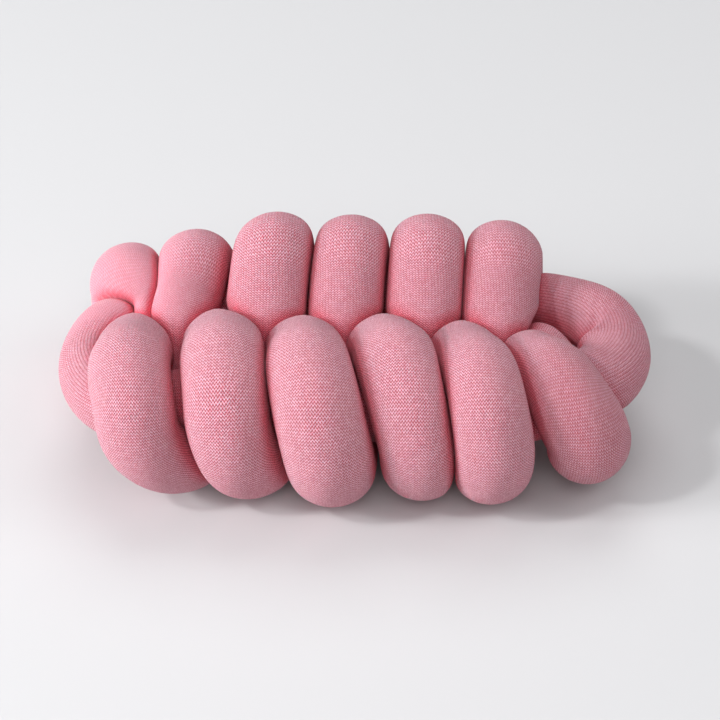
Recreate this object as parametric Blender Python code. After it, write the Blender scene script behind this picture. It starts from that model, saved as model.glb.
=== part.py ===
"""A knot cushion: stuffed knitted tube wound into a loaf of two rows of lobes.

The tube goes round two parallel cores in a figure of eight: over the front core, down its
face, under it, up through the middle, over the back core, and so on along the loaf.  The
cores are tube as well, and a bend at each end of the loaf joins them.  Everything touches
and presses together, so the solid is the outer form of the whole knot.

Metres, +Z up.  X runs along the loaf, the front row is at -Y, and the loaf rests on z = 0,
where its weight presses the feet of the lobes flat.
"""
import math
from collections import namedtuple

import bmesh
import bpy
import numpy as np

# ------------------------------------------------------------------ driving dimensions
ROW_Y = 0.088             # each core lies this far in front of or behind the middle
CORE_Z = 0.093            # height of the cores' centre line; most feet then press on z = 0
CORE_RADIUS = 0.0385      # stuffed tube of the cores and of the two end bends
TUCKED_RADIUS = 0.038     # the tube's last stretch, which lies between the rows
TUCKED_END = ((0.194, -0.002, 0.081), (0.172, 0.040, 0.072))
END_LENGTH = 0.040        # a rounded end of the tube takes up this much of its length

STATION_STEP = 0.008      # length of tube between two rings of the swept skin
SIDES = 28                # sides of the swept skin
VOXEL = 0.0045            # grain at which the touching turns are joined into one skin
FACET_BUDGET = 8600       # triangles that are kept

KNIT_PINK = (0.665, 0.275, 0.335, 1.0)
KNIT_ROUGHNESS = 0.95

# One row for each lobe, in the order in which the tube makes them.  side is -1 in the front
# row and +1 in the back row.  The four x columns say where the tube is in the valley between
# the rows, on the crest, on the outer face and at the foot.  wrap is the radius at which it
# goes round its core, out and up move that circle, and radius is the tube's own.  middle_x
# and middle_z say where the tube comes up between the rows before it makes the lobe.
Lobe = namedtuple("Lobe", "side valley_x crest_x face_x foot_x wrap out up radius middle_x middle_z")
LOBES = (
    Lobe(+1, -0.210, -0.236, -0.243, -0.234, 0.0405, -0.008, -0.018, 0.0445, -0.216, 0.093),
    Lobe(-1, -0.224, -0.224, -0.211, -0.160, 0.0450, -0.002, -0.003, 0.0430, -0.227, 0.093),
    Lobe(+1, -0.184, -0.173, -0.165, -0.160, 0.0430, -0.003, -0.011, 0.0475, -0.189, 0.093),
    Lobe(-1, -0.132, -0.131, -0.122, -0.095, 0.0450, 0.000, -0.001, 0.0490, -0.141, 0.092),
    Lobe(+1, -0.088, -0.085, -0.081, -0.075, 0.0480, 0.000, 0.001, 0.0495, -0.090, 0.093),
    Lobe(-1, -0.049, -0.046, -0.028, -0.018, 0.0460, 0.012, 0.000, 0.0490, -0.058, 0.086),
    Lobe(+1, -0.010, -0.006, 0.000, 0.006, 0.0470, 0.000, -0.001, 0.0490, -0.013, 0.093),
    Lobe(-1, 0.036, 0.045, 0.067, 0.069, 0.0455, 0.002, -0.002, 0.0480, 0.026, 0.088),
    Lobe(+1, 0.074, 0.076, 0.082, 0.090, 0.0470, 0.000, -0.001, 0.0495, 0.072, 0.093),
    Lobe(-1, 0.114, 0.123, 0.136, 0.138, 0.0465, 0.013, -0.002, 0.0440, 0.106, 0.084),
    Lobe(+1, 0.150, 0.155, 0.160, 0.168, 0.0470, -0.001, -0.005, 0.0465, 0.146, 0.093),
    Lobe(-1, 0.182, 0.198, 0.231, 0.238, 0.0340, 0.001, -0.003, 0.0435, 0.177, 0.074),
)
TURN_ANGLES = (-45, 0, 45, 90, 135, 180, 225)   # round a core, from its top outwards
X_ANGLES = (-45, 0, 90, 180, 315)               # where valley, crest, face, foot, valley lie

# The loop of tube that the lobes go round: two straight cores, and the bends at the ends.
CORE_LEFT_X = -0.190
CORE_RIGHT_X = 0.168
CORE_STATIONS = 8
BACK_CORE_DROP = 0.004
RIGHT_BEND = (
    (0.220, -0.070, 0.096),
    (0.255, -0.042, 0.093),
    (0.271, 0.002, 0.090),
    (0.257, 0.046, 0.096),
    (0.216, 0.077, 0.091),
)
LEFT_BEND = (
    (-0.198, 0.074, 0.088),
    (-0.234, 0.047, 0.093),
    (-0.260, 0.016, 0.096),
    (-0.269, -0.020, 0.088),
    (-0.256, -0.055, 0.085),
    (-0.230, -0.080, 0.089),
)


# ------------------------------------------------------------------ the tube's centre line
def winding_stations():
    """Stations x, y, z, radius of the tube that makes the twelve lobes."""
    first = LOBES[0]
    stations = [
        (first.valley_x - 0.004, -0.6 * ROW_Y, CORE_Z - first.wrap, first.radius),
        (first.valley_x - 0.002, -0.020, CORE_Z - 0.015, first.radius),
    ]
    for number, lobe in enumerate(LOBES):
        last = number == len(LOBES) - 1
        next_x = TUCKED_END[0][0] if last else LOBES[number + 1].valley_x
        x_places = (lobe.valley_x, lobe.crest_x, lobe.face_x, lobe.foot_x, next_x)
        for degrees in TURN_ANGLES:
            turn = math.radians(degrees)
            x = float(np.interp(degrees, X_ANGLES, x_places))
            y = lobe.side * (ROW_Y + lobe.out + lobe.wrap * math.sin(turn))
            z = CORE_Z + lobe.up + lobe.wrap * math.cos(turn)
            stations.append((x, y, z, lobe.radius))
        if not last:
            after = LOBES[number + 1]
            middle_radius = 0.5 * (lobe.radius + after.radius)
            stations.append((after.middle_x, 0.0, after.middle_z, middle_radius))
    return stations + [(x, y, z, TUCKED_RADIUS) for x, y, z in TUCKED_END]


def core_stations():
    """Stations x, y, z, radius of the closed loop of cores and end bends."""
    core_x = np.linspace(CORE_LEFT_X, CORE_RIGHT_X, CORE_STATIONS)
    route = [(x, -ROW_Y, CORE_Z) for x in core_x]
    route += RIGHT_BEND
    route += [(x, ROW_Y, CORE_Z - BACK_CORE_DROP) for x in core_x[::-1]]
    route += LEFT_BEND
    return [(x, y, z, CORE_RADIUS) for x, y, z in route]


def even_curve(stations, closed):
    """A Catmull-Rom curve through the stations, read again at even steps of its length."""
    points = np.asarray(stations, dtype=float)
    if closed:
        points = np.vstack([points[-1], points, points[:2]])
    else:
        points = np.vstack([2 * points[0] - points[1], points, 2 * points[-1] - points[-2]])
    t = np.linspace(0.0, 1.0, 16, endpoint=False)[:, None]
    spans = []
    for a, b, c, d in zip(points, points[1:], points[2:], points[3:]):
        bend = (2 * a - 5 * b + 4 * c - d) * t**2
        twist = (3 * b - a - 3 * c + d) * t**3
        spans.append(0.5 * (2 * b + (c - a) * t + bend + twist))
    curve = np.vstack(spans + [points[-2]])
    lengths = np.linalg.norm(np.diff(curve[:, :3], axis=0), axis=1)
    along = np.concatenate([[0.0], np.cumsum(lengths)])
    count = int(round(along[-1] / STATION_STEP))
    places = np.linspace(0.0, along[-1], count + 1)
    even = np.stack([np.interp(places, along, column) for column in curve.T], axis=1)
    return even[:-1] if closed else even


def rounded_ends(curve):
    """Draw the radius in over both ends, so that the tube ends in domes."""
    along = np.arange(len(curve)) * STATION_STEP
    from_end = np.minimum(along, along[::-1])
    inward = 1.0 - np.clip(from_end / END_LENGTH, 0.0, 1.0)
    curve[:, 3] *= np.sqrt(np.maximum(1.0 - inward**2, 0.02))
    return curve


# ------------------------------------------------------------------ the swept skin
def cross_axes(points, closed):
    """Two unit vectors square to the centre line at each point, carried along untwisted."""
    if closed:
        tangents = np.roll(points, -1, axis=0) - np.roll(points, 1, axis=0)
    else:
        tangents = np.gradient(points, axis=0)
    tangents /= np.linalg.norm(tangents, axis=1)[:, None]
    first = np.empty_like(points)
    carried = np.array([0.0, 0.0, 1.0])
    for number, tangent in enumerate(tangents):
        carried = carried - tangent * carried.dot(tangent)
        carried /= np.linalg.norm(carried)
        first[number] = carried
    return first, np.cross(tangents, first)


def add_tube(bm, curve, closed):
    """Sweep a round section along the curve and add it to the mesh as a closed skin."""
    first, second = cross_axes(curve[:, :3], closed)
    angles = np.arange(SIDES) * 2 * math.pi / SIDES
    rings = []
    for centre, a, b in zip(curve, first, second):
        ring = [centre[:3] + centre[3] * (math.cos(q) * a + math.sin(q) * b) for q in angles]
        rings.append([bm.verts.new(place) for place in ring])
    pairs = list(zip(rings, rings[1:]))
    if closed:
        pairs.append((rings[-1], rings[0]))
    for near, far in pairs:
        for side in range(SIDES):
            after = (side + 1) % SIDES
            bm.faces.new((near[side], far[side], far[after], near[after]))
    if not closed:
        bm.faces.new(rings[0])
        bm.faces.new(rings[-1][::-1])


def keep_outer_skin(bm):
    """Delete the skins of the small pockets inside the knot."""
    highest = max(bm.verts, key=lambda vert: vert.co.z)
    outer = {highest}
    border = [highest]
    while border:
        vert = border.pop()
        for edge in vert.link_edges:
            other = edge.other_vert(vert)
            if other not in outer:
                outer.add(other)
                border.append(other)
    inner = [vert for vert in bm.verts if vert not in outer]
    bmesh.ops.delete(bm, geom=inner, context="VERTS")


def centre_over_origin(bm):
    """Move the knot along X and Y until the middle of its box is over the origin."""
    places = np.array([vert.co for vert in bm.verts])
    middle = (places.min(axis=0) + places.max(axis=0)) / 2
    bmesh.ops.translate(bm, verts=bm.verts, vec=(-middle[0], -middle[1], 0.0))


# ------------------------------------------------------------------ objects
def knit_material():
    material = bpy.data.materials.new("pink_knit")
    material.use_nodes = True
    shader = material.node_tree.nodes["Principled BSDF"]
    shader.inputs["Base Color"].default_value = KNIT_PINK
    shader.inputs["Roughness"].default_value = KNIT_ROUGHNESS
    shader.inputs["Metallic"].default_value = 0.0
    return material


def floor_cutter(size):
    """A slab under z = 0 that cuts the feet flat."""
    bm = bmesh.new()
    bmesh.ops.create_cube(bm, size=1.0)
    bmesh.ops.scale(bm, verts=bm.verts, vec=(2 * size, 2 * size, 0.1))
    bmesh.ops.translate(bm, verts=bm.verts, vec=(0.0, 0.0, -0.05))
    mesh = bpy.data.meshes.new("floor_cutter")
    bm.to_mesh(mesh)
    bm.free()
    cutter = bpy.data.objects.new("floor_cutter", mesh)
    cutter.hide_render = True
    cutter.display_type = "WIRE"
    bpy.context.scene.collection.objects.link(cutter)
    return cutter


def joined_knot():
    """The two tubes, joined where they touch into one skin."""
    bm = bmesh.new()
    add_tube(bm, rounded_ends(even_curve(winding_stations(), closed=False)), closed=False)
    add_tube(bm, even_curve(core_stations(), closed=True), closed=True)
    mesh = bpy.data.meshes.new("knotted_tube")
    bm.to_mesh(mesh)
    bm.free()
    knot = bpy.data.objects.new("knotted_tube", mesh)
    bpy.context.scene.collection.objects.link(knot)
    union = knot.modifiers.new("Join the turns", "REMESH")
    union.mode = "VOXEL"
    union.voxel_size = VOXEL
    graph = bpy.context.evaluated_depsgraph_get()
    knot.data = bpy.data.meshes.new_from_object(knot.evaluated_get(graph))
    knot.modifiers.clear()
    return knot


def build():
    for old in list(bpy.data.objects):
        bpy.data.objects.remove(old)
    knot = joined_knot()
    bm = bmesh.new()
    bm.from_mesh(knot.data)
    keep_outer_skin(bm)
    centre_over_origin(bm)
    bmesh.ops.triangulate(bm, faces=bm.faces)
    facets = len(bm.faces)
    bm.to_mesh(knot.data)
    bm.free()
    knot.data.materials.clear()
    knot.data.materials.append(knit_material())
    knot.data.shade_smooth()

    thin = knot.modifiers.new("Fewer facets", "DECIMATE")
    thin.ratio = FACET_BUDGET / facets
    cut = knot.modifiers.new("Flat feet", "BOOLEAN")
    cut.operation = "DIFFERENCE"
    cut.solver = "EXACT"
    cut.object = floor_cutter(size=1.0)


build()
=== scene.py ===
# %% [markdown]
# # A knot cushion: one stuffed tube of jersey, wound into a loaf
#
# The cushion is a single long sausage of pink knitted cloth, stuffed with fibre and knotted.
# Looked at closely it has three layers of form: the route that the tube takes, the way its
# turns press on each other and on the surface below, and the stitches of the knit.
# Each gets its own step here.  First comes the measured model that everything has to fit.

# %% Load the frame
import math
from collections import namedtuple

import bmesh
import bpy
import numpy as np
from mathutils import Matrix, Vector, noise
from mathutils.bvhtree import BVHTree


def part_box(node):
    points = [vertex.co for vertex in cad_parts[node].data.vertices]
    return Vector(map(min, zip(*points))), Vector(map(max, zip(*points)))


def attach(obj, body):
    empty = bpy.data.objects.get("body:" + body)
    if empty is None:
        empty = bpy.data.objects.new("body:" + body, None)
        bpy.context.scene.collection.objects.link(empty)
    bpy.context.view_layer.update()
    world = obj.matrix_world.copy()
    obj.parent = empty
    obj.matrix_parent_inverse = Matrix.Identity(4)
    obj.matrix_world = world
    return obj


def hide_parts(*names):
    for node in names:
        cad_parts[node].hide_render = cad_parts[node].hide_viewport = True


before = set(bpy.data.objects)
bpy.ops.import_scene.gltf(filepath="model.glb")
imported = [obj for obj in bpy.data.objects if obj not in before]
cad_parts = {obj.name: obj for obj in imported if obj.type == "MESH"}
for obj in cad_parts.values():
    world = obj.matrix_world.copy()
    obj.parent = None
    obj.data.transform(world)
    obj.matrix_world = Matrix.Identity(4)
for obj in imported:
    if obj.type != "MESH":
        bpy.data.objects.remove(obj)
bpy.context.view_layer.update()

# %% [markdown]
# ## The route
#
# The tube goes round two parallel cores in a figure of eight: over the front core, down its
# face, under it, up through the middle, over the back core and so on.  A helix on each side
# would be simpler, but it would not cross over between the rows.  So each lobe gets a row in
# a table that says where the tube is in the valley between the rows, on the crest, on the
# outer face and at the foot, and how wide it swings round its core.

# %% Sizes of the loaf
ROW_Y = 0.088             # each core lies this far in front of or behind the middle
CORE_Z = 0.093            # height of the cores' centre line
CORE_RADIUS = 0.0385      # stuffed tube of the cores and of the two end bends
HIDDEN_START = ((-0.214, -0.0528, 0.0525), (-0.212, -0.020, 0.078))   # inside, below the first lobes
TUCKED_END = ((0.194, -0.002, 0.081), (0.172, 0.040, 0.072))          # in between the rows
TUCKED_RADIUS = 0.038     # the tube is thinner on this last stretch
END_LENGTH = 0.040        # a rounded end of the tube takes up this much of its length

# Side is +1 for a lobe of the back row.  Wrap is the swing round the core, out and up move that
# circle off the core, and middle_x and middle_z say where the tube comes up between the rows.
Lobe = namedtuple("Lobe", "side valley_x crest_x face_x foot_x wrap out up radius middle_x middle_z")
LOBES = (
    Lobe(+1, -0.210, -0.236, -0.243, -0.234, 0.0405, -0.008, -0.018, 0.0445, -0.216, 0.093),
    Lobe(-1, -0.224, -0.224, -0.211, -0.160, 0.0450, -0.002, -0.003, 0.0430, -0.227, 0.093),
    Lobe(+1, -0.184, -0.173, -0.165, -0.160, 0.0430, -0.003, -0.011, 0.0475, -0.189, 0.093),
    Lobe(-1, -0.132, -0.131, -0.122, -0.095, 0.0450, 0.000, -0.001, 0.0490, -0.141, 0.092),
    Lobe(+1, -0.088, -0.085, -0.081, -0.075, 0.0480, 0.000, 0.001, 0.0495, -0.090, 0.093),
    Lobe(-1, -0.049, -0.046, -0.028, -0.018, 0.0460, 0.012, 0.000, 0.0490, -0.058, 0.086),
    Lobe(+1, -0.010, -0.006, 0.000, 0.006, 0.0470, 0.000, -0.001, 0.0490, -0.013, 0.093),
    Lobe(-1, 0.036, 0.045, 0.067, 0.069, 0.0455, 0.002, -0.002, 0.0480, 0.026, 0.088),
    Lobe(+1, 0.074, 0.076, 0.082, 0.090, 0.0470, 0.000, -0.001, 0.0495, 0.072, 0.093),
    Lobe(-1, 0.114, 0.123, 0.136, 0.138, 0.0465, 0.013, -0.002, 0.0440, 0.106, 0.084),
    Lobe(+1, 0.150, 0.155, 0.160, 0.168, 0.0470, -0.001, -0.005, 0.0465, 0.146, 0.093),
    Lobe(-1, 0.182, 0.198, 0.231, 0.238, 0.0340, 0.001, -0.003, 0.0435, 0.177, 0.074),
)
TURN_ANGLES = (-45, 0, 45, 90, 135, 180, 225)   # round a core, from its top outwards
X_ANGLES = (-45, 0, 90, 180, 315)               # valley, crest, face, foot, next valley

print(len(LOBES), "lobes,", sum(lobe.side < 0 for lobe in LOBES), "of them in front")


# %% Stations of the winding
def winding_stations():
    """Stations x, y, z, radius of the tube that makes the lobes."""
    stations = [(x, y, z, LOBES[0].radius) for x, y, z in HIDDEN_START]
    for number, lobe in enumerate(LOBES):
        last = number == len(LOBES) - 1
        next_x = TUCKED_END[0][0] if last else LOBES[number + 1].valley_x
        x_places = (lobe.valley_x, lobe.crest_x, lobe.face_x, lobe.foot_x, next_x)
        for degrees in TURN_ANGLES:
            turn = math.radians(degrees)
            x = float(np.interp(degrees, X_ANGLES, x_places))
            y = lobe.side * (ROW_Y + lobe.out + lobe.wrap * math.sin(turn))
            z = CORE_Z + lobe.up + lobe.wrap * math.cos(turn)
            stations.append((x, y, z, lobe.radius))
        if not last:
            after = LOBES[number + 1]
            middle_radius = 0.5 * (lobe.radius + after.radius)
            stations.append((after.middle_x, 0.0, after.middle_z, middle_radius))
    return stations + [(x, y, z, TUCKED_RADIUS) for x, y, z in TUCKED_END]


print(len(winding_stations()), "stations on the winding")

# %% [markdown]
# ## The cores and the end bends
#
# The two cores are tube as well.  At each end of the loaf they come out from under the lobes
# and join in a bend that can be seen: these bends are the handles of the knot.  The bends
# aren't alike, so each gets its own few stations, listed one by one.

# %% Stations of the cores
CORE_LEFT_X = -0.190
CORE_RIGHT_X = 0.168
CORE_STATIONS = 8         # on each straight core
BACK_CORE_DROP = 0.004    # the back core lies this much lower
RIGHT_BEND = (
    (0.220, -0.070, 0.096),
    (0.255, -0.042, 0.093),
    (0.271, 0.002, 0.090),
    (0.257, 0.046, 0.096),
    (0.216, 0.077, 0.091),
)
LEFT_BEND = (
    (-0.198, 0.074, 0.088),
    (-0.234, 0.047, 0.093),
    (-0.260, 0.016, 0.096),
    (-0.269, -0.020, 0.088),
    (-0.256, -0.055, 0.085),
    (-0.230, -0.080, 0.089),
)


def core_stations():
    """Stations x, y, z, radius of the closed loop of cores and end bends."""
    core_x = np.linspace(CORE_LEFT_X, CORE_RIGHT_X, CORE_STATIONS)
    route = [(x, -ROW_Y, CORE_Z) for x in core_x]
    route += RIGHT_BEND
    route += [(x, ROW_Y, CORE_Z - BACK_CORE_DROP) for x in core_x[::-1]]
    route += LEFT_BEND
    return [(x, y, z, CORE_RADIUS) for x, y, z in route]


print(len(core_stations()), "stations on the cores")

# %% [markdown]
# ## One smooth line through the stations
#
# A tube that is swept along straight pieces shows every station.  A Catmull-Rom curve runs
# through the stations without corners, and reading it again at even steps gives rings that
# are evenly spaced, so the knit isn't stretched in one place and bunched in another.

# %% A curve, read at even steps
RING_STEP = 0.0030        # length of tube between two rings of the skin
READINGS = 24             # places read on the curve between two stations
EASING_PASSES = 14        # light smoothing of the line, over about a centimetre


def even_curve(stations, closed):
    """A Catmull-Rom curve through the stations, read again at even steps of its length."""
    points = np.asarray(stations, dtype=float)
    if closed:
        points = np.vstack([points[-1], points, points[:2]])
    else:
        points = np.vstack([2 * points[0] - points[1], points, 2 * points[-1] - points[-2]])
    t = np.linspace(0.0, 1.0, READINGS, endpoint=False)[:, None]
    spans = []
    for a, b, c, d in zip(points, points[1:], points[2:], points[3:]):
        bend = (2 * a - 5 * b + 4 * c - d) * t**2
        twist = (3 * b - a - 3 * c + d) * t**3
        spans.append(0.5 * (2 * b + (c - a) * t + bend + twist))
    curve = np.vstack(spans + [points[-2]])
    lengths = np.linalg.norm(np.diff(curve[:, :3], axis=0), axis=1)
    along = np.concatenate([[0.0], np.cumsum(lengths)])
    count = int(round(along[-1] / RING_STEP))
    places = np.linspace(0.0, along[-1], count + 1)
    even = np.stack([np.interp(places, along, column) for column in curve.T], axis=1)
    return even[:-1] if closed else even


def eased(curve, closed):
    """The curve with its slight kinks smoothed away; an open curve keeps its ends."""
    for _ in range(EASING_PASSES):
        middle = 0.25 * np.roll(curve, 1, axis=0) + 0.5 * curve + 0.25 * np.roll(curve, -1, axis=0)
        if not closed:
            middle[0] = curve[0]
            middle[-1] = curve[-1]
        curve = middle
    return curve


winding = eased(even_curve(winding_stations(), closed=False), closed=False)
cores = eased(even_curve(core_stations(), closed=True), closed=True)
print("tube in the winding, metres:", round(len(winding) * RING_STEP, 2))
print("tube in the cores, metres:", round(len(cores) * RING_STEP, 2))

# %% [markdown]
# ## Turns that press on each other
#
# A stuffed tube is round where it is free and flat where another turn presses on it.  Cloth
# simulation with self-collision could find that shape, but on five metres of coiled tube it
# is slow, and the turns tend to slip out of place.  There is a direct way.  Two equal turns
# that press on each other meet half way between their centre lines.  So from each point of
# the line we look outwards in every direction, and let the skin stop at the nearest of these
# half-way planes.  A soft minimum rounds the shoulders where the flat part ends.

# %% Axes across the tube
SIDES = 64                # sides of the skin


def cross_axes(points, closed):
    """Two unit vectors square to the line at each point, carried along it untwisted."""
    if closed:
        tangents = np.roll(points, -1, axis=0) - np.roll(points, 1, axis=0)
    else:
        tangents = np.gradient(points, axis=0)
    tangents /= np.linalg.norm(tangents, axis=1)[:, None]
    first = np.empty_like(points)
    carried = np.array([0.0, 0.0, 1.0])
    for number, tangent in enumerate(tangents):
        carried = carried - tangent * carried.dot(tangent)
        carried /= np.linalg.norm(carried)
        first[number] = carried
    return first, np.cross(tangents, first)


def outward_directions(axes):
    """Unit vectors from each point of the line to the SIDES sides of its ring."""
    first, second = axes
    angles = np.arange(SIDES) * 2 * math.pi / SIDES
    across = np.cos(angles)[None, :, None] * first[:, None, :]
    return across + np.sin(angles)[None, :, None] * second[:, None, :]


winding_axes = cross_axes(winding[:, :3], closed=False)
core_axes = cross_axes(cores[:, :3], closed=True)
winding_rays = outward_directions(winding_axes)
core_rays = outward_directions(core_axes)
print("directions looked at:", winding_rays.shape[:2], "and", core_rays.shape[:2])

# %% How far the skin can reach
OWN_STRETCH = 0.020       # tube this near along the line can't press on itself
LOOK_RADIUS = 0.125       # only turns this near can press
AIR_GAP = 0.00015         # half of the sliver of air between two turns
FREE = 0.15               # stands for "nothing in the way"
SIDEWAYS = 1e-6           # a ray that faces a neighbour less than this never meets it

line_points = np.vstack([winding[:, :3], cores[:, :3]])


def pressed_reach(points, rays, start, closed):
    """Distance from the line to the nearest half-way plane, for every ray."""
    count = len(points)
    numbers = np.arange(count)
    reach = np.full(rays.shape[:2], FREE)
    for number in range(count):
        away = line_points - points[number]
        square = np.einsum("ij,ij->i", away, away)
        near = square < LOOK_RADIUS**2
        apart = np.abs(numbers - number)
        if closed:
            apart = np.minimum(apart, count - apart)
        near[start + numbers[apart * RING_STEP <= OWN_STRETCH]] = False
        if not near.any():
            continue
        facing = np.maximum(rays[number] @ away[near].T, SIDEWAYS)
        plane = square[near] / (2 * facing)
        reach[number] = np.minimum(FREE, plane.min(axis=1)) - AIR_GAP
    return reach


winding_reach = pressed_reach(winding[:, :3], winding_rays, 0, closed=False)
core_reach = pressed_reach(cores[:, :3], core_rays, len(winding), closed=True)
print("narrowest pressed half-width, mm:", round(1000 * winding_reach.min(), 1))

# %% A round tube with flattened sides
SHOULDER = 10.0           # higher is a tighter turn from round to flat
SMOOTH_PASSES = 3
END_OPENING = 0.002       # keeps a pinhole at each end of the tube, which is filled later


def smooth_skin(reach, closed):
    """Average each distance a little with its neighbours round and along the tube."""
    for _ in range(SMOOTH_PASSES):
        reach = 0.25 * np.roll(reach, 1, axis=1) + 0.5 * reach + 0.25 * np.roll(reach, -1, axis=1)
        along = 0.25 * np.roll(reach, 1, axis=0) + 0.5 * reach + 0.25 * np.roll(reach, -1, axis=0)
        if not closed:
            along[0] = reach[0]
            along[-1] = reach[-1]
        reach = along
    return reach


def rounded_ends(reach):
    """Draw the skin in over both ends of an open tube, into two domes."""
    along = np.arange(len(reach)) * RING_STEP
    from_end = np.minimum(along, along[::-1])
    inward = 1.0 - np.clip(from_end / END_LENGTH, 0.0, 1.0)
    return reach * np.sqrt(np.maximum(1.0 - inward**2, END_OPENING))[:, None]


def skin_points(curve, rays, reach, closed):
    """The places of the skin's points, ring by ring."""
    round_radius = curve[:, 3][:, None]
    soft = (reach**-SHOULDER + round_radius**-SHOULDER) ** (-1 / SHOULDER)
    soft = smooth_skin(soft, closed)
    if not closed:
        soft = rounded_ends(soft)
    return curve[:, None, :3] + soft[:, :, None] * rays


winding_skin = skin_points(winding, winding_rays, winding_reach, closed=False)
core_skin = skin_points(cores, core_rays, core_reach, closed=True)
print("skin points:", winding_skin[..., 0].size + core_skin[..., 0].size)

# %% [markdown]
# ## The fold inside the right bend
#
# The right bend is so tight that the sleeve folds on its hollow side: the front part swells
# over the crease, and the part behind it drops in.  The crease starts in the hollow and
# fades out over the top.  It is a small push along the rays, on the rings near one place.

# %% A tuck in the bend
TUCK_PLACE = (0.236, 0.004, 0.103)
TUCK_DEPTH = 0.006
TUCK_WIDTH = 0.014
TUCK_SKEW = 0.060         # the crease runs on along the bend by this much as it fades
TUCK_WALL = 0.4           # width of the drop's steep front wall, in widths of the tuck
SWELL_HEIGHT = 0.5        # height of the swell, in depths of the tuck
SWELL_PLACE = 1.1         # how far the swell lies before the drop, in widths of the tuck
SWELL_WIDTH = 0.7
TUCK_EDGE = 0.45          # rays that face the hollow less than this don't move


def tucked(skin, curve, rays):
    """Fold the skin round one place: a drop behind the crease and a swell before it."""
    place = np.array(TUCK_PLACE)
    ring = int(np.argmin(np.linalg.norm(curve[:, :3] - place, axis=1)))
    hollow = place - curve[ring, :3]
    facing = rays @ (hollow / np.linalg.norm(hollow))
    along = (np.arange(len(curve)) - ring)[:, None] * RING_STEP - TUCK_SKEW * (1.0 - facing)
    along = along / TUCK_WIDTH
    drop = np.exp(-np.where(along > 0, along, along / TUCK_WALL) ** 2)
    swell = SWELL_HEIGHT * np.exp(-(((along + SWELL_PLACE) / SWELL_WIDTH) ** 2))
    share = np.clip((facing - TUCK_EDGE) / TUCK_EDGE, 0.0, 1.0)
    push = TUCK_DEPTH * (swell - drop) * share**2 * (3.0 - 2.0 * share)
    return skin + push[:, :, None] * rays


plain_skin = core_skin
core_skin = tucked(plain_skin, cores, core_rays)
print("points moved by the tuck:", int((core_skin != plain_skin).any(axis=2).sum()))

# %% [markdown]
# ## Filling that isn't quite even
#
# Fibre filling bunches, so a real lobe is never a perfect sausage.  A smooth noise in space,
# a fraction of a millimetre to a millimetre high, takes away the drawn-with-a-compass look.
# It is read at the skin's own place, so it is the same each time.

# %% Lumps of filling
LUMP_SIZE = 0.060         # rough width of one lump
LUMP_HEIGHT = 0.0011


def lumpy(skin, curve):
    """Push the skin in and out along its rays by a slow noise."""
    places = skin.reshape(-1, 3)
    heights = np.array([noise.noise(Vector(place) / LUMP_SIZE) for place in places])
    outward = skin - curve[:, None, :3]
    length = np.linalg.norm(outward, axis=2, keepdims=True)
    return skin + outward / length * LUMP_HEIGHT * heights.reshape(length.shape)


winding_skin = lumpy(winding_skin, winding)
core_skin = lumpy(core_skin, cores)
print("lumps are up to", 1000 * LUMP_HEIGHT, "mm high or deep")

# %% [markdown]
# ## Lying on a surface
#
# The feet of the lobes press flat under the weight.  Cutting them off with a plane would
# leave a hard rim, so the height is bent instead: far above the surface it stays as it is,
# and near it it levels out softly to nothing.

# %% Soft contact with the surface
CONTACT_SOFTNESS = 0.0012
UNBENT_ABOVE = 0.03       # higher than this, the skin keeps its height


def settled(skin):
    """Level the skin out where it would go through z = 0."""
    height = skin[:, :, 2]
    low = np.minimum(height, UNBENT_ABOVE)
    bent = CONTACT_SOFTNESS * np.log1p(np.exp(low / CONTACT_SOFTNESS))
    skin[:, :, 2] = np.where(height > UNBENT_ABOVE, height, bent)
    return skin


winding_skin = settled(winding_skin)
core_skin = settled(core_skin)

both = np.vstack([winding_skin.reshape(-1, 3), core_skin.reshape(-1, 3)])
skin_middle = (both.min(axis=0) + both.max(axis=0)) / 2
cad_low, cad_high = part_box("knotted_tube")
to_frame = np.array([
    (cad_low[0] + cad_high[0]) / 2 - skin_middle[0],
    (cad_low[1] + cad_high[1]) / 2 - skin_middle[1],
    0.0,
])
print("moved into the frame by, mm:", (1000 * to_frame).round(1))

# %% [markdown]
# ## How the knit lies on the tube
#
# Jersey has columns of stitches, the wales, and rows of stitches, the courses.  On a tube
# that is wound at a slant they don't keep to the tube's own direction.  The cloth gives, and
# on each lobe the wales run straight over the core, square to the loaf, with the courses
# across them.  So each ring gets a swing, which turns the wales back by as much as the tube
# has moved along the loaf, and each course leans to keep in line with the loaf's length.
# On the back row the cloth is also stretched, so its courses lie further apart.

# %% Places in the sleeve, along it and round it
MIDDLE_BAND = 0.020       # nearer to the loaf's middle than this, the cloth doesn't swing
BAND_EDGE = 0.030         # the swing and the stretch set in over this much
COURSE_LEAN = 0.5         # 1 would bring the courses all the way in line with the loaf
BACK_STRETCH = 0.22       # share of the back row's length that comes from stretch


def wale_swing(curve, axes):
    """Turns of the sleeve at each ring that keep the wales square to the loaf."""
    first, second = axes
    row = np.sign(curve[:, 1])
    core = np.stack([curve[:, 0], row * ROW_Y, np.full(len(curve), CORE_Z)], axis=1)
    outward = curve[:, :3] - core
    outside = np.arctan2((outward * second).sum(axis=1), (outward * first).sum(axis=1))
    travel = row * np.diff(curve[:, 0], prepend=curve[0, 0]) / curve[:, 3]
    turn = np.diff(outside, prepend=outside[0])
    turn = (turn + math.pi) % (2 * math.pi) - math.pi
    share = np.clip((np.abs(curve[:, 1]) - MIDDLE_BAND) / BAND_EDGE, 0.0, 1.0)
    return np.cumsum(share * (travel - turn)) / (2 * math.pi)


def course_lean(curve, skin):
    """How far along the tube each point's course is from its ring."""
    slant = np.gradient(curve[:, 0]) / RING_STEP
    return -COURSE_LEAN * slant[:, None] * (skin[:, :, 0] - curve[:, :1])


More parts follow.
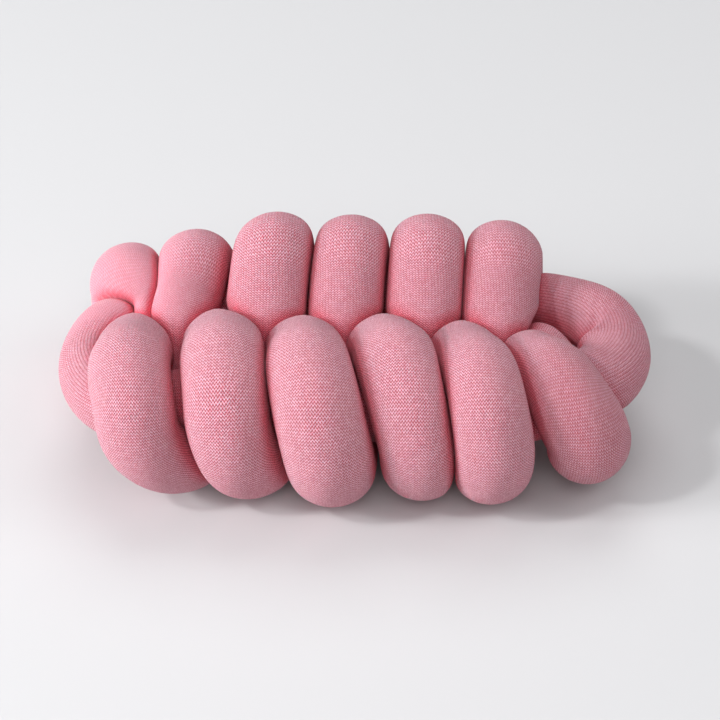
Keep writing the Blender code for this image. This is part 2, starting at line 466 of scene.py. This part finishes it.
def course_travel(curve):
    """Length of slack sleeve up to each ring; the back row's share is stretched."""
    back = np.clip(0.5 + curve[:, 1] / BAND_EDGE, 0.0, 1.0)
    return np.concatenate([[0.0], np.cumsum(RING_STEP * (1 - BACK_STRETCH * back))])


winding_swing = wale_swing(winding, winding_axes)
winding_travel = course_travel(winding)
winding_lean = course_lean(winding, winding_skin)
core_swing = np.zeros(len(cores))
core_travel = RING_STEP * np.arange(len(cores) + 1)
core_lean = np.zeros(core_skin.shape[:2])
print("most that the sleeve swings, turns:", round(float(np.ptp(winding_swing)), 2))

# %% [markdown]
# ## From a strip of jersey to a tube
#
# The real tube comes off a knitting machine as a sleeve.  Here it starts as a flat grid, one
# row of faces for each ring and one column for each side, whose UV map serves as the
# sleeve's own coordinates: along it and round it.  Each point of the grid goes to its place
# on the skin, and merging the doubles closes the sleeve.

# %% Roll the grid up
UV_LENGTH = 5.0           # metres of sleeve in one unit of the UV map, along the tube
WALES_ROUND = 96
BEND_WALES = 70           # the bends are stretched wider, so they show fewer, broader ribs


def sleeve(name, skin, travel, swing, lean, wales, closed):
    """A closed tube made from a grid of faces that is rolled up."""
    rings = len(skin)
    lengths = rings if closed else rings - 1
    bm = bmesh.new()
    jersey = bm.loops.layers.uv.new("jersey")
    bmesh.ops.create_grid(bm, x_segments=lengths, y_segments=SIDES, size=1.0, calc_uvs=True)
    for face in bm.faces:
        face.smooth = True
        for loop in face.loops:
            ring = round(loop[jersey].uv.x * lengths)
            side = round(loop[jersey].uv.y * SIDES)
            along = travel[ring] + lean[ring % rings, side % SIDES]
            around = side / SIDES * wales / WALES_ROUND + swing[ring % rings]
            loop[jersey].uv = (along / UV_LENGTH, around)
    for vert in bm.verts:
        ring = round((vert.co.x + 1) / 2 * lengths)
        side = round((vert.co.y + 1) / 2 * SIDES)
        vert.co = skin[ring % rings, side % SIDES] + to_frame
    bmesh.ops.remove_doubles(bm, verts=bm.verts, dist=1e-6)
    if not closed:
        bmesh.ops.holes_fill(bm, edges=bm.edges, sides=SIDES)
    bmesh.ops.recalc_face_normals(bm, faces=bm.faces)
    mesh = bpy.data.meshes.new(name)
    bm.to_mesh(mesh)
    bm.free()
    piece = bpy.data.objects.new(name, mesh)
    bpy.context.scene.collection.objects.link(piece)
    print(name, "has", 2 * len(mesh.polygons), "triangles")
    return piece


lobes_piece = sleeve(
    "wound_lobes", winding_skin, winding_travel, winding_swing, winding_lean, WALES_ROUND,
    closed=False,
)
cores_piece = sleeve(
    "cores_and_bends", core_skin, core_travel, core_swing, core_lean, BEND_WALES,
    closed=True,
)

# %% [markdown]
# ## Painted shade in the folds
#
# Deep between two lobes the light has bounced from pink yarn to pink yarn many times, so the
# pink looks deeper there, and that shade is painted into the yarn's colour.  A few short rays
# from each point tell how much of its near view is filled by other cloth, and the painted
# shade follows that share.

# %% How much cloth each point faces
FOLD_REACH = 0.06         # cloth further away than this counts as open air
FOLD_RAYS = 16
RAY_START = 0.001         # just clear of the cloth that the ray starts from
GOLDEN_ANGLE = math.pi * (3 - math.sqrt(5))


def short_rays():
    """Directions about straight up, closest together where light counts most."""
    rays = []
    for index in range(FOLD_RAYS):
        spread = math.sqrt((index + 0.5) / FOLD_RAYS)
        turn = index * GOLDEN_ANGLE
        height = math.sqrt(1 - spread**2)
        rays.append(Vector((spread * math.cos(turn), spread * math.sin(turn), height)))
    return rays


def measure_fold_shade(pieces):
    """Give each vertex the share of its near view that cloth fills; return the largest."""
    bm = bmesh.new()
    for piece in pieces:
        bm.from_mesh(piece.data)
    cloth = BVHTree.FromBMesh(bm)
    bm.free()
    rays = short_rays()
    deepest = 0.0
    for piece in pieces:
        fold_shade = piece.data.attributes.new("fold_shade_share", "FLOAT", "POINT")
        for vert in piece.data.vertices:
            to_normal = Vector((0, 0, 1)).rotation_difference(vert.normal)
            start = vert.co + RAY_START * vert.normal
            filled = 0.0
            for ray in rays:
                distance = cloth.ray_cast(start, to_normal @ ray, FOLD_REACH)[3]
                if distance is not None:
                    filled += 1 - distance / FOLD_REACH
            fold_shade.data[vert.index].value = filled / FOLD_RAYS
            deepest = max(deepest, filled / FOLD_RAYS)
    return deepest


print("deepest share:", round(measure_fold_shade((lobes_piece, cores_piece)), 2))

# %% [markdown]
# ## Where the ribs show
#
# The columns of stitches stand out as ribs where the jersey is pulled tight along the tube:
# most on the bends and on the last front lobe, less on the back row, least on the fronts.  The
# grooves between the ribs are relief, and they are also painted darker, which is painted shade.
# On the first back lobes it is pulled wide, and its stitches close up to a smoother face.

# %% How clearly the ribs and the stitches show
LOBE_RIB = 0.18           # depth of the grooves between two ribs, 0 to 1
BACK_RIB = 0.40
TIGHT_RIB = 0.60          # the bends and the last front lobe
SOFT_FACE = 0.6           # how much of their clearness the first back lobes' stitches lose
FIRST_LOBES_X = -0.20     # from here the softness fades out over the next stretch
FADE_LENGTH = 0.05
LAST_LOBE_X = 0.17


def ramp(value, start, length):
    """From 0 at the start to 1 a given length further on."""
    return min(max((value - start) / length, 0.0), 1.0)


def mark_knit(piece, least_rib):
    """Give each vertex the depth of its ribs and the clearness of its stitches, 0 to 1."""
    rib = piece.data.attributes.new("rib_depth", "FLOAT", "POINT")
    clear = piece.data.attributes.new("stitch_clearness", "FLOAT", "POINT")
    for vert in piece.data.vertices:
        back = ramp(vert.co.y, -BAND_EDGE / 2, BAND_EDGE)
        first_lobes = 1 - ramp(vert.co.x, FIRST_LOBES_X, FADE_LENGTH)
        last_lobe = ramp(vert.co.x, LAST_LOBE_X, BAND_EDGE)
        back_rib = BACK_RIB * back * (1 - first_lobes)
        rib.data[vert.index].value = max(least_rib, back_rib, TIGHT_RIB * last_lobe)
        clear.data[vert.index].value = 1 - SOFT_FACE * back * first_lobes


mark_knit(lobes_piece, LOBE_RIB)
mark_knit(cores_piece, TIGHT_RIB)
print("points marked:", len(lobes_piece.data.vertices) + len(cores_piece.data.vertices))

# %% [markdown]
# ## Shader sums in plain Python
#
# The knit is a pattern made of sums, and sums are easier to read as expressions than as a
# chain of boxes.  A small class wraps a socket, so that `a + b` adds a Math node.

# %% A socket that can be added and multiplied
class Sum:
    """A socket in a node tree, with the operators that the knit needs."""

    def __init__(self, tree, socket=None):
        self.tree = tree
        self.socket = socket

    def node(self, kind, settings=None, inputs=None, output=0):
        """Any node: its settings are set first, then the values or links of its sockets."""
        made = self.tree.nodes.new(kind)
        for setting, value in (settings or {}).items():
            setattr(made, setting, value)
        for socket, value in (inputs or {}).items():
            if isinstance(value, Sum):
                self.tree.links.new(value.socket, made.inputs[socket])
            else:
                made.inputs[socket].default_value = value
        return Sum(self.tree, made.outputs[output])

    def math(self, operation, *values):
        """A Math node on these values, each of them a Sum or a number."""
        inputs = dict(enumerate(values))
        return self.node("ShaderNodeMath", {"operation": operation}, inputs)

    def __add__(self, other):
        return self.math("ADD", self, other)

    def __sub__(self, other):
        return self.math("SUBTRACT", self, other)

    def __mul__(self, other):
        return self.math("MULTIPLY", self, other)

    def __pow__(self, other):
        return self.math("POWER", self, other)

    def __rsub__(self, other):
        return self.math("SUBTRACT", other, self)

    __radd__ = __add__
    __rmul__ = __mul__

    def fraction(self):
        return self.math("FRACT", self)

    def size(self):
        return self.math("ABSOLUTE", self)

    def whole(self):
        return self.math("FLOOR", self)

    def clipped(self):
        return self.math("MINIMUM", self.math("MAXIMUM", self, 0.0), 1.0)


print("a Sum has", sum(callable(part) for part in vars(Sum).values()), "methods")

# %% [markdown]
# ## Jersey
#
# The face of jersey is columns of small V shapes, the wales, which run along the tube.  Each
# V has two legs of yarn that lean together.  In the sleeve's own coordinates a leg is easy
# to say: how far across its column a point is gives the two legs, and how far along, pushed
# on by the distance from the column's middle, gives the lean.  Knitting is never quite
# regular, so a slow noise lets the courses wander, and no two legs are equally light.

# %% The stitches
COURSE = 0.0019           # one stitch along the middle of the tube; bends stretch it outside
LEAN = 0.80               # how far a leg leans over half a column, in stitches
WANDER = 1.6              # how far the courses wander, in stitches
WANDER_SCALE = 22.0       # scale of the noise that they wander by
COURSE_DEPTH = 0.85       # depth of the groove between two courses, 0 to 1
YARN_WIDTH = 0.64         # share of a stitch that the yarn takes up, and the gap the rest
YARN_EDGE = 2.0           # higher is a sharper edge between the yarn and the gap
UNEVEN = 0.30             # how much light the darkest legs lose
MEAN_LIGHT = 0.50         # lightness of a face whose stitches can't be told apart


def attribute(start, name):
    """A number that the pieces carry at each of their points."""
    return start.node("ShaderNodeAttribute", {"attribute_name": name}, output="Fac")


def stitches(tree):
    """Height of the yarn's back, and how light each place is, both from 0 to 1; the dark gaps and
    grooves in the lightness are painted shade.
    """
    start = Sum(tree)
    body = start.node("ShaderNodeTexCoord", output="Object")
    wander = start.node(
        "ShaderNodeTexNoise", inputs={"Vector": body, "Scale": WANDER_SCALE, "Detail": 2.0}
    )
    sleeve_place = start.node("ShaderNodeUVMap", {"uv_map": "jersey"})
    along = start.node("ShaderNodeSeparateXYZ", inputs={"Vector": sleeve_place}, output="X")
    around = start.node("ShaderNodeSeparateXYZ", inputs={"Vector": sleeve_place}, output="Y")
    from_middle = 2 * ((around * WALES_ROUND).fraction() - 0.5).size()
    courses = along * (UV_LENGTH / COURSE) + from_middle * LEAN + wander * WANDER
    from_back = 2 * (courses.fraction() - 0.5).size()
    rib = attribute(start, "rib_depth")
    groove = from_middle**3 * rib
    height = 1 - from_back**2 * COURSE_DEPTH - groove
    leg = start.node(
        "ShaderNodeCombineXYZ",
        inputs={"X": (around * (2 * WALES_ROUND)).whole(), "Y": courses.whole()},
    )
    chance = start.node("ShaderNodeTexWhiteNoise", {"noise_dimensions": "2D"}, {"Vector": leg})
    yarn = (0.5 + YARN_EDGE * (YARN_WIDTH - from_back)).clipped()
    clear = attribute(start, "stitch_clearness")
    # Painted shade: the colour darkens in the gaps between the legs and in the grooves between ribs;
    # the legs' uneven lightness is their own tone
    light = yarn * (1 - chance * UNEVEN) * (1 - groove)
    return height * clear, (light - MEAN_LIGHT) * clear + MEAN_LIGHT


print("stitches in ten centimetres of a column:", round(0.1 / COURSE))

# %% [markdown]
# ## Pink yarn
#
# The yarn is soft and matt: a rough surface with a pale sheen, which stands for the fine
# hairs that catch the light along the outline.  The gaps between the stitches are painted a
# dark deep rose, which is painted shade for the light that gets in there and has bounced off
# pink yarn several times, and the yarn in the folds between two lobes gets painted shade too.

# %% The knit material
YARN = (0.92, 0.525, 0.63, 1.0)
# Painted shade: the colour of the yarn deep in the folds between two lobes, a deeper pink
YARN_PAINTED_FOLD_SHADE = (1.0, 0.24, 0.32, 1.0)
# Painted shade: the colour of the gaps between the stitches
GAP_PAINTED_SHADE = (0.42, 0.004, 0.014, 1.0)
YARN_RISE = 0.0013        # height of the yarn's back over the gap
FOLD_SHADE_START = 1 / 12       # share of cloth in view from which the painted fold shade sets in
FOLD_SHADE_RATE = 2.4           # how fast it changes from there
YARN_FINISH = {
    "Roughness": 0.95,
    "Specular IOR Level": 0.1,
    "Subsurface Weight": 0.4,
    "Subsurface Radius": (1.0, 0.2, 0.25),
    "Subsurface Scale": 0.012,
    "Sheen Weight": 0.25,
    "Sheen Roughness": 0.4,
    "Sheen Tint": (1.0, 0.85, 0.88, 1.0),
}


def mixed(start, share, first, second):
    """One colour that goes over into another."""
    inputs = {"Factor": share, "A": first, "B": second}
    return start.node("ShaderNodeMix", {"data_type": "RGBA"}, inputs, output="Result")


def pink_jersey():
    """Pink jersey: V stitches in relief, with painted shade in the gaps and in the folds."""
    material = bpy.data.materials.new("pink_jersey")
    material.use_nodes = True
    tree = material.node_tree
    start = Sum(tree)
    height, light = stitches(tree)
    # Painted shade: how far the yarn goes over into the deeper pink of the folds
    fold_shade = ((attribute(start, "fold_shade_share") - FOLD_SHADE_START) * FOLD_SHADE_RATE).clipped()
    yarn = mixed(start, fold_shade, YARN, YARN_PAINTED_FOLD_SHADE)
    # Painted shade: where the lightness is low, the colour goes over into the dark gaps
    colour = mixed(start, light, GAP_PAINTED_SHADE, yarn)
    relief = start.node("ShaderNodeBump", inputs={"Height": height, "Distance": YARN_RISE})
    shader = tree.nodes["Principled BSDF"]
    tree.links.new(colour.socket, shader.inputs["Base Color"])
    tree.links.new(relief.socket, shader.inputs["Normal"])
    for socket, value in YARN_FINISH.items():
        shader.inputs[socket].default_value = value
    return material


jersey = pink_jersey()
for piece in (lobes_piece, cores_piece):
    piece.data.materials.append(jersey)
    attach(piece, "root")
    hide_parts("knotted_tube")
print("nodes in the knit material:", len(jersey.node_tree.nodes))

# %% [markdown]
# ## Table, light and camera
#
# The cushion lies on a plain pale surface.  Two small lights at the left, one high and one
# low, make the edge of the shadow on the surface and the shadow of the last lobe on the
# bend.  A soft light low at the left keeps the left sides of the lobes pale, three large
# ones round the cushion lighten its shaded right sides, and a pale sky fills the rest.

# %% Surface
FLOOR_HALF_SIDE = 6.0
FLOOR_COLOUR = (0.625, 0.605, 0.605, 1.0)


def pale_floor():
    """A large plain surface that runs far behind the cushion."""
    bm = bmesh.new()
    bmesh.ops.create_grid(bm, x_segments=1, y_segments=1, size=FLOOR_HALF_SIDE)
    mesh = bpy.data.meshes.new("table_top")
    bm.to_mesh(mesh)
    bm.free()
    floor = bpy.data.objects.new("table_top", mesh)
    bpy.context.scene.collection.objects.link(floor)
    material = bpy.data.materials.new("pale_table")
    material.use_nodes = True
    shader = material.node_tree.nodes["Principled BSDF"]
    shader.inputs["Base Color"].default_value = FLOOR_COLOUR
    shader.inputs["Roughness"].default_value = 0.9
    mesh.materials.append(material)
    return floor


pale_floor()
print("surface, metres across:", 2 * FLOOR_HALF_SIDE)

# %% Lights
LOOK_AT = Vector((0.0045, 0.005, 0.083))
LIGHT_COLOUR = (0.95, 0.98, 1.0)
SKY_COLOUR = (0.93, 0.97, 1.0, 1.0)
SKY_STRENGTH = 0.12

Lamp = namedtuple("Lamp", "name azimuth elevation distance size watts")
LAMPS = (
    Lamp("key_light", 297, 45, 6.0, 0.6, 119.0),
    Lamp("low_key_light", 286, 26, 5.0, 0.6, 97.0),
    Lamp("side_light", 284, 14, 5.0, 2.2, 200.0),
    Lamp("back_light", 180, 60, 6.0, 4.0, 142.0),
    Lamp("front_light", 0, 45, 7.0, 4.0, 158.0),
    Lamp("right_light", 85, 45, 6.0, 4.0, 94.0),
)


def light_place(azimuth, elevation, distance):
    """A place round the cushion, in degrees: azimuth 0 is the front, 90 the right."""
    turn = math.radians(azimuth)
    tilt = math.radians(elevation)
    flat = math.cos(tilt)
    direction = Vector((math.sin(turn) * flat, -math.cos(turn) * flat, math.sin(tilt)))
    return LOOK_AT + distance * direction


def soft_light(lamp):
    """A square area light that faces the cushion."""
    light = bpy.data.lights.new(lamp.name, "AREA")
    light.size = lamp.size
    light.energy = lamp.watts
    light.color = LIGHT_COLOUR
    place = light_place(lamp.azimuth, lamp.elevation, lamp.distance)
    body = bpy.data.objects.new(lamp.name, light)
    body.location = place
    body.rotation_euler = (LOOK_AT - place).to_track_quat("-Z", "Y").to_euler()
    bpy.context.scene.collection.objects.link(body)


for lamp in LAMPS:
    soft_light(lamp)

sky = bpy.data.worlds.new("studio")
sky.use_nodes = True
background = sky.node_tree.nodes["Background"]
background.inputs["Color"].default_value = SKY_COLOUR
background.inputs["Strength"].default_value = SKY_STRENGTH
bpy.context.scene.world = sky
bpy.context.scene.view_settings.view_transform = "Standard"
print(len(LAMPS), "lights,", sum(lamp.watts for lamp in LAMPS), "watts")

# %% Camera
CAMERA_DISTANCE = 2.3
CAMERA_ELEVATION = math.radians(38)
CAMERA_LENS = 110         # mm
SENSOR_WIDTH = 36         # mm

camera_data = bpy.data.cameras.new("camera")
camera_data.lens = CAMERA_LENS
camera_data.sensor_width = SENSOR_WIDTH
camera = bpy.data.objects.new("camera", camera_data)
backwards = Vector((0.0, -math.cos(CAMERA_ELEVATION), math.sin(CAMERA_ELEVATION)))
camera.location = LOOK_AT + CAMERA_DISTANCE * backwards
camera.rotation_euler = (-backwards).to_track_quat("-Z", "Y").to_euler()
bpy.context.scene.collection.objects.link(camera)
bpy.context.scene.camera = camera
print("camera at, metres:", [round(place, 3) for place in camera.location])
